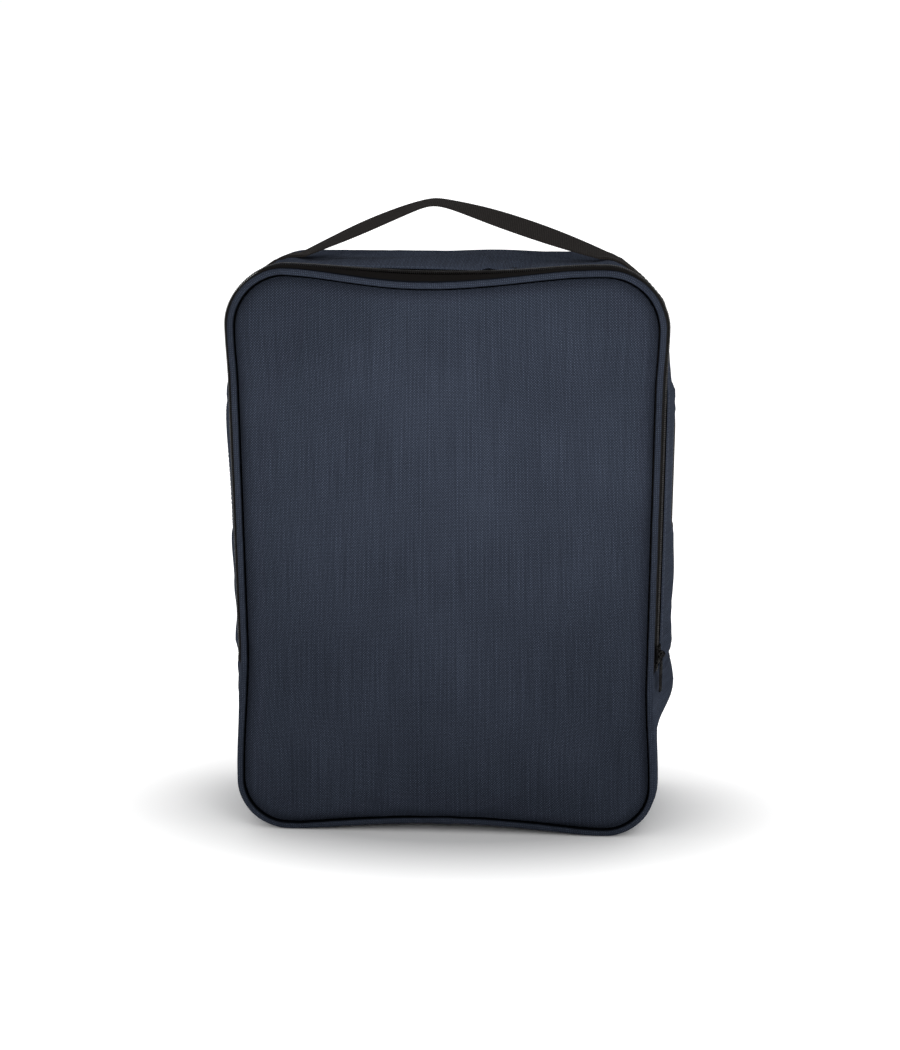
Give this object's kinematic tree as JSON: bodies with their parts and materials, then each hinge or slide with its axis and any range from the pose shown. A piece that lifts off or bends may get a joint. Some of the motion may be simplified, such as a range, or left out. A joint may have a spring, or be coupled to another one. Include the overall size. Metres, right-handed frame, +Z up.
{
  "type": "shoe bag",
  "caption": "Upright navy fabric shoe bag: piped edges, front flap freed by a zip round three sides, mesh side vents and a black webbing handle.",
  "frame": {"origin": "on the floor, under the middle of the bag's base", "axes": "+Z up, -Y towards the front panel with the zip, +X to the slider's side"},
  "size_m": [0.3004, 0.1256, 0.4182],
  "materials": {
    "navy_cloth": "plain-weave polyester, matt",
    "piping_cloth": "the same cloth cut as piping",
    "filler_cord": "twisted cotton cord",
    "zip_tape": "woven black polyester",
    "zip_coil": "black nylon",
    "webbing": "ribbed black webbing",
    "vent_mesh": "black knitted mesh",
    "slider_metal": "dark gunmetal plating",
    "binding": "black binding tape",
    "label_cloth": "blank white satin tape"
  },
  "bodies": {
    "shell": {"back_binding": "binding", "back_panel": "navy_cloth", "back_piping_cord": "filler_cord", "back_piping_cover": "piping_cloth", "care_label": "label_cloth", "front_binding_lower": "binding", "front_panel_lower": "navy_cloth", "front_piping_cord_lower": "filler_cord", "front_piping_cover_lower": "piping_cloth", "handle_end_left": "webbing", "handle_end_right": "webbing", "lower_gusset": "navy_cloth", "rear_zip_coil": "zip_coil", "rear_zip_tape": "zip_tape", "upper_gusset": "navy_cloth", "vent_mesh_left": "vent_mesh", "vent_mesh_right": "vent_mesh", "zip_coil_tail_left": "zip_coil", "zip_coil_tail_right": "zip_coil", "zip_tape_tail_left": "zip_tape", "zip_tape_tail_right": "zip_tape"},
    "flap": {"front_panel_upper": "navy_cloth", "front_piping_cover_upper": "piping_cloth", "front_piping_cord_upper": "filler_cord", "front_binding_upper": "binding", "front_zip_tape": "zip_tape", "front_zip_coil": "zip_coil"},
    "slider": {"zip_slider": "slider_metal"},
    "pull": {"pull_tab": "slider_metal"},
    "handle": {"handle_webbing": "webbing"}
  },
  "joints": [
    {"name": "flap_opens", "type": "hinge", "parent": "shell", "child": "flap", "pos_m": [0, -0.0642, 0.1378], "axis": [1, 0, 0], "range_deg": [0, 120]},
    {"name": "slider_travel", "type": "slide", "parent": "shell", "child": "slider", "axis": [0.0103, 0, 0.9999], "range_m": [0, 0.163]},
    {"name": "pull_swings", "type": "hinge", "parent": "slider", "child": "pull", "pos_m": [0.14284, -0.0484, 0.1249], "axis": [-0.2149, -0.9766, 0.0022], "range_deg": [0, 150]},
    {"name": "handle_folds", "type": "hinge", "parent": "shell", "child": "handle", "pos_m": [0, 0.004, 0.394], "axis": [1, 0, 0], "range_deg": [-60, 60]}
  ]
}
